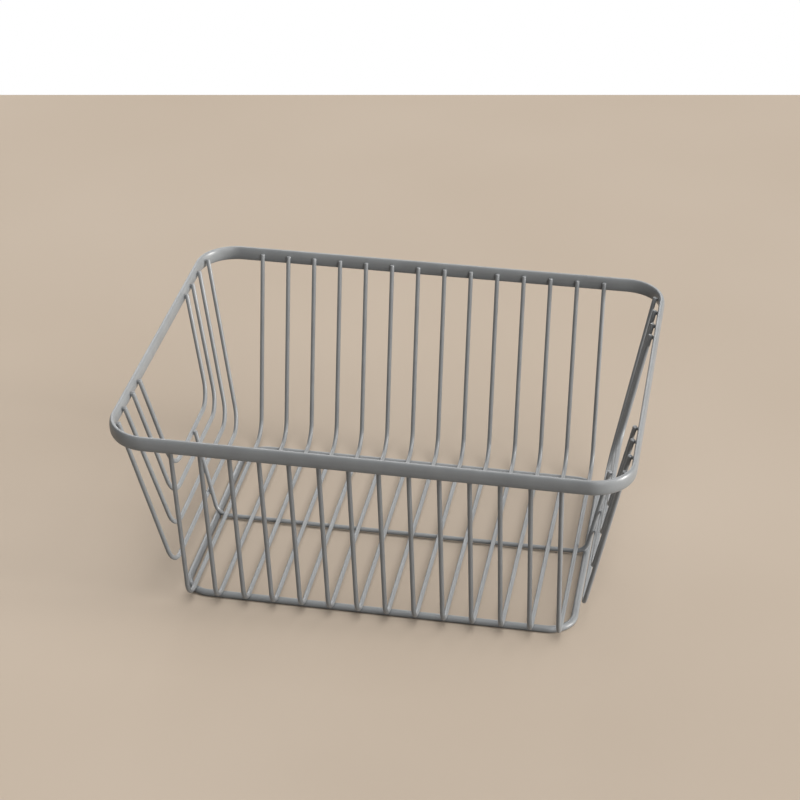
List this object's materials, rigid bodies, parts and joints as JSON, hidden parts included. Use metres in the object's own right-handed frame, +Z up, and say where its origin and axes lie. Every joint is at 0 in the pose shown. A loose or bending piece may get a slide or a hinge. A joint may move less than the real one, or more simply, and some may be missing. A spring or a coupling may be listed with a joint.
{
  "type": "wire basket",
  "caption": "Open rectangular wire basket with outward-leaning walls, a rim of bar with crowned faces, a hand-hold gap in each side wall and a round-wire ring underneath.",
  "frame": {"origin": "on the floor, at the middle of the basket's footprint", "axes": "+X to the right along the wide front, +Y from front to back, +Z up"},
  "size_m": [0.36, 0.2874, 0.1587],
  "materials": {
    "coated_steel": "satin mid-grey powder coat, slightly textured"
  },
  "bodies": {
    "root": {"rim": "coated_steel", "base_ring": "coated_steel", "long_wire_01": "coated_steel", "long_wire_02": "coated_steel", "long_wire_03": "coated_steel", "long_wire_04": "coated_steel", "long_wire_05": "coated_steel", "long_wire_06": "coated_steel", "long_wire_07": "coated_steel", "long_wire_08": "coated_steel", "long_wire_09": "coated_steel", "long_wire_10": "coated_steel", "long_wire_11": "coated_steel", "long_wire_12": "coated_steel", "long_wire_13": "coated_steel", "long_wire_14": "coated_steel", "left_side_wire_1": "coated_steel", "left_side_wire_2": "coated_steel", "left_side_wire_3": "coated_steel", "left_side_wire_4": "coated_steel", "right_side_wire_1": "coated_steel", "right_side_wire_2": "coated_steel", "right_side_wire_3": "coated_steel", "right_side_wire_4": "coated_steel", "cross_wire": "coated_steel"}
  },
  "joints": []
}
